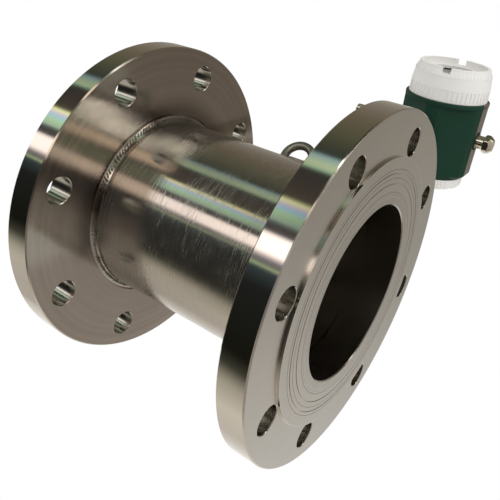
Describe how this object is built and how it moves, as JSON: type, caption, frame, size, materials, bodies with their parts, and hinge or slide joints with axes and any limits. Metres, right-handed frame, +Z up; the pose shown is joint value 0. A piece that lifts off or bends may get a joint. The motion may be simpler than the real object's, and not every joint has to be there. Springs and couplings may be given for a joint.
{
  "type": "vortex flow meter",
  "caption": "Flanged vortex flow meter: steel pipe section with a shedder bar and probe, and a transmitter head with a window and screwed covers on a neck.",
  "frame": {"origin": "on the pipe's axis at the middle of its face-to-face length, under the neck", "axes": "+X along the pipe to the outlet flange, +Z up the neck to the transmitter head, the display faces -Y"},
  "size_m": [0.2508, 0.285, 0.6955],
  "materials": {
    "brushed_stainless": "brushed round the axis",
    "turned_stainless": "turned satin",
    "polished_stainless": "polished",
    "weld_metal": "rippled weld",
    "graphite": "matt",
    "zinc_steel": "zinc plated",
    "green_paint": "satin paint on a casting",
    "white_paint": "satin paint on a casting",
    "bare_aluminium": "machined",
    "window_glass": "clear toughened glass",
    "seal_rubber": "matt",
    "circuit_board": "solder mask",
    "nickel_brass": "nickel plated",
    "dark_plastic": "moulded",
    "lcd_face": "grey-green screen",
    "key_rubber": "matt",
    "terminal_plastic": "moulded"
  },
  "bodies": {
    "pipe_section": {"meter_tube": "brushed_stainless", "inlet_flange": "turned_stainless", "outlet_flange": "turned_stainless", "inlet_weld": "weld_metal", "outlet_weld": "weld_metal", "shedder_bar": "brushed_stainless", "sensor_seat": "turned_stainless", "probe_gasket": "graphite", "sensor_probe": "brushed_stainless", "clamp_plate": "turned_stainless", "clamp_washers": "zinc_steel", "clamp_bolts": "zinc_steel", "neck_tube": "brushed_stainless", "neck_weld": "weld_metal", "neck_union": "turned_stainless", "front_lifting_lug": "polished_stainless", "rear_lifting_lug": "polished_stainless"},
    "transmitter_head": {"housing_body": "green_paint", "swivel_lock_screw": "zinc_steel", "front_cover_seal": "seal_rubber", "rear_cover_seal": "seal_rubber", "power_board": "circuit_board", "main_board": "circuit_board", "display_board": "circuit_board", "board_posts": "nickel_brass", "board_components": "dark_plastic", "display_bezel": "dark_plastic", "lcd_panel": "lcd_face", "display_screws": "nickel_brass", "terminal_block": "terminal_plastic", "terminal_screws": "nickel_brass", "plug_washer": "seal_rubber", "gland_washer": "seal_rubber", "gland_body": "nickel_brass", "gland_seal": "seal_rubber"},
    "front_cover": {"front_cover": "white_paint", "window_seal": "seal_rubber", "window_glass": "window_glass", "window_retainer": "bare_aluminium"},
    "rear_cover": {"rear_cover": "white_paint"},
    "key_left": {"display_key_left": "key_rubber"},
    "key_middle": {"display_key_middle": "key_rubber"},
    "key_right": {"display_key_right": "key_rubber"},
    "entry_plug": {"entry_plug": "nickel_brass"},
    "gland_nut": {"gland_nut": "nickel_brass"}
  },
  "joints": [
    {"name": "head_swivel", "type": "hinge", "parent": "pipe_section", "child": "transmitter_head", "pos_m": [0, 0, 0.418], "axis": [0, 0, 1], "range_deg": [-175, 175]},
    {"name": "front_cover_turn", "type": "hinge", "parent": "transmitter_head", "child": "front_cover", "pos_m": [0, -0.06, 0.493], "axis": [0, -1, 0], "range_deg": [0, 450]},
    {"name": "rear_cover_turn", "type": "hinge", "parent": "transmitter_head", "child": "rear_cover", "pos_m": [0, 0.06, 0.493], "axis": [0, 1, 0], "range_deg": [0, 450]},
    {"name": "gland_nut_turn", "type": "hinge", "parent": "transmitter_head", "child": "gland_nut", "pos_m": [-0.09, 0.0005, 0.493], "axis": [-1, 0, 0], "range_deg": [0, 450]},
    {"name": "entry_plug_turn", "type": "hinge", "parent": "transmitter_head", "child": "entry_plug", "pos_m": [0.06, 0.0005, 0.493], "axis": [1, 0, 0], "range_deg": [0, 450]},
    {"name": "key_left_press", "type": "slide", "parent": "transmitter_head", "child": "key_left", "axis": [0, 1, 0], "range_m": [0, 0.001], "stiffness_N_per_m": 600},
    {"name": "key_middle_press", "type": "slide", "parent": "transmitter_head", "child": "key_middle", "axis": [0, 1, 0], "range_m": [0, 0.001], "stiffness_N_per_m": 600},
    {"name": "key_right_press", "type": "slide", "parent": "transmitter_head", "child": "key_right", "axis": [0, 1, 0], "range_m": [0, 0.001], "stiffness_N_per_m": 600}
  ]
}
